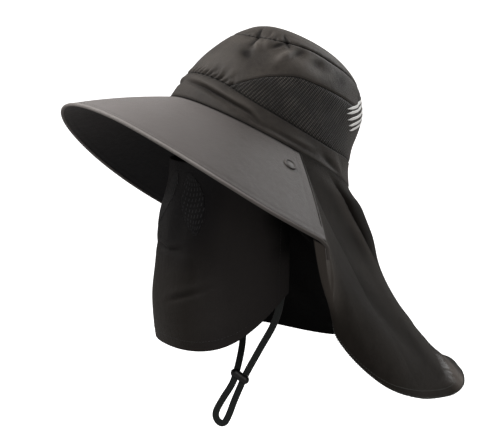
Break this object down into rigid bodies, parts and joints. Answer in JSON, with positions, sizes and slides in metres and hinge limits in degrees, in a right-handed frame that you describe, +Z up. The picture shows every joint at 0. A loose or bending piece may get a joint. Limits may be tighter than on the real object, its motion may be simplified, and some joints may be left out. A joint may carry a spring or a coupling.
{
  "type": "sun hat",
  "caption": "Soft sun hat with a wide front brim, mesh-backed crown, long neck cape, a face mask with mesh cheek patches held by press snaps, and a chin cord with a slider.",
  "frame": {"origin": "middle of the crown's mouth, where the hat sits on a head", "axes": "+Z up, +X to the wearer's left, +Y to the back of the head; the brim points along -Y"},
  "size_m": [0.3315, 0.4209, 0.397],
  "materials": {
    "crown_cloth": "matt dark grey cloth, slightly shiny on folds",
    "mesh": "fine dark knitted mesh",
    "brim_cloth": "smooth brownish grey cloth over a stiffener",
    "binding": "narrow bound edge tape",
    "cape_cloth": "thin dark grey cloth",
    "mask_cloth": "thin dark cloth",
    "snap_cap": "satin snap cap",
    "snap_socket": "satin dark snap socket",
    "cord": "matt flat woven cord",
    "slider": "matt black plastic"
  },
  "bodies": {
    "root": {"crown_tip": "crown_cloth", "crown_wall": "crown_cloth", "crown_mesh": "mesh", "crown_band": "crown_cloth", "brim": "brim_cloth", "brim_binding": "binding", "neck_cape": "cape_cloth", "face_mask": "mask_cloth", "mask_mesh_left": "mesh", "mask_mesh_right": "mesh", "snap_cap_left": "snap_cap", "snap_cap_right": "snap_cap", "snap_socket_left": "snap_socket", "snap_socket_right": "snap_socket", "chin_cord": "cord", "cord_slider": "slider"}
  },
  "joints": []
}
